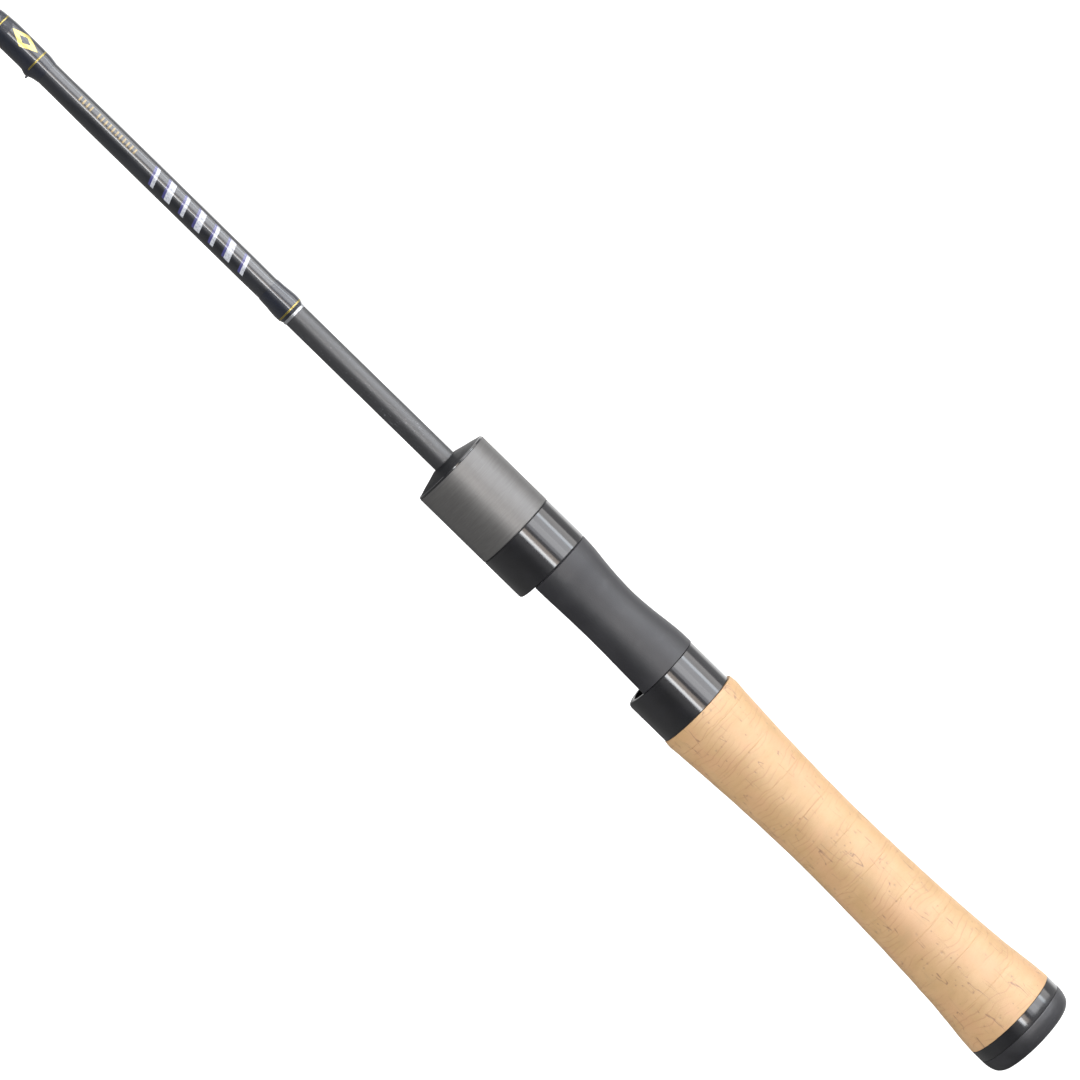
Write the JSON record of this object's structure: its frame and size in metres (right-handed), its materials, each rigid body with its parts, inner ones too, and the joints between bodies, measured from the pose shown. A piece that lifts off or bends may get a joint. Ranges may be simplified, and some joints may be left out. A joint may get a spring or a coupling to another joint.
{
  "type": "spinning rod",
  "caption": "Spinning rod with a flared cork grip, a screw-locking reel seat with a sliding hood, a tapered blank that parts at a ferrule, and ring guides.",
  "frame": {"origin": "centre of the butt cap's end face, on the rod's axis", "axes": "+X along the rod from butt to tip, -Z towards the reel and the guides, +Z the top of the rod"},
  "size_m": [1.6795, 0.0324, 0.045],
  "materials": {
    "cork": "sanded cork discs with fine dark pits",
    "rubber": "matte charcoal rubber",
    "gloss_black": "polished black",
    "soft_touch": "soft-touch dark grey coating",
    "gunmetal": "satin gunmetal, brushed round",
    "nylon": "moulded black nylon",
    "carbon": "unsanded carbon fibre, clear coated beyond the lower winding",
    "winding": "black thread under clear epoxy",
    "gold_trim": "metallic gold thread under epoxy",
    "silver_trim": "bright thin ring",
    "guide_steel": "polished stainless steel",
    "guide_ring": "polished dark ceramic",
    "foam": "hard foam"
  },
  "bodies": {
    "butt_section": {"arbor_front": "foam", "arbor_rear": "foam", "butt_blank": "carbon", "butt_cap": "rubber", "butt_ring": "gloss_black", "cork_ring_01": "cork", "cork_ring_02": "cork", "cork_ring_03": "cork", "cork_ring_04": "cork", "cork_ring_05": "cork", "cork_ring_06": "cork", "cork_ring_07": "cork", "cork_ring_08": "cork", "cork_ring_09": "cork", "cork_ring_10": "cork", "cork_ring_11": "cork", "guide_1_frame": "guide_steel", "guide_1_ring": "guide_ring", "guide_1_winding_front": "winding", "guide_1_winding_rear": "winding", "guide_2_frame": "guide_steel", "guide_2_ring": "guide_ring", "guide_2_winding_front": "winding", "guide_2_winding_rear": "winding", "hook_keeper": "guide_steel", "lower_ring": "silver_trim", "lower_trim": "gold_trim", "lower_winding": "winding", "rear_hood": "gloss_black", "seat_body": "soft_touch", "upper_trim_1": "gold_trim", "upper_trim_2": "gold_trim", "upper_winding": "winding"},
    "front_hood": {"front_hood": "gloss_black", "thrust_washer": "nylon"},
    "lock_nut": {"nut_sleeve": "gunmetal", "nut_bush": "nylon", "nut_end_cap": "gloss_black"},
    "tip_section": {"ferrule_trim": "gold_trim", "ferrule_winding": "winding", "guide_3_frame": "guide_steel", "guide_3_ring": "guide_ring", "guide_3_winding": "winding", "guide_4_frame": "guide_steel", "guide_4_ring": "guide_ring", "guide_4_winding": "winding", "guide_5_frame": "guide_steel", "guide_5_ring": "guide_ring", "guide_5_winding": "winding", "guide_6_frame": "guide_steel", "guide_6_ring": "guide_ring", "guide_6_winding": "winding", "guide_7_frame": "guide_steel", "guide_7_ring": "guide_ring", "guide_7_winding": "winding", "tip_blank": "carbon", "tip_top_frame": "guide_steel", "tip_top_ring": "guide_ring", "tip_top_winding": "winding"}
  },
  "joints": [
    {"name": "hood_slide", "type": "slide", "parent": "butt_section", "child": "front_hood", "axis": [1, 0, 0], "range_m": [0, 0.0101]},
    {"name": "nut_turn", "type": "hinge", "parent": "front_hood", "child": "lock_nut", "pos_m": [0.2346, 0, 0], "axis": [1, 0, 0], "range_deg": [0, 1200]},
    {"name": "tip_pull", "type": "slide", "parent": "butt_section", "child": "tip_section", "axis": [1, 0, 0], "range_m": [0, 0.058]}
  ],
  "couplings": [
    {"joint": "hood_slide", "follows": "nut_turn", "m_per_rad": 0.00047746}
  ]
}
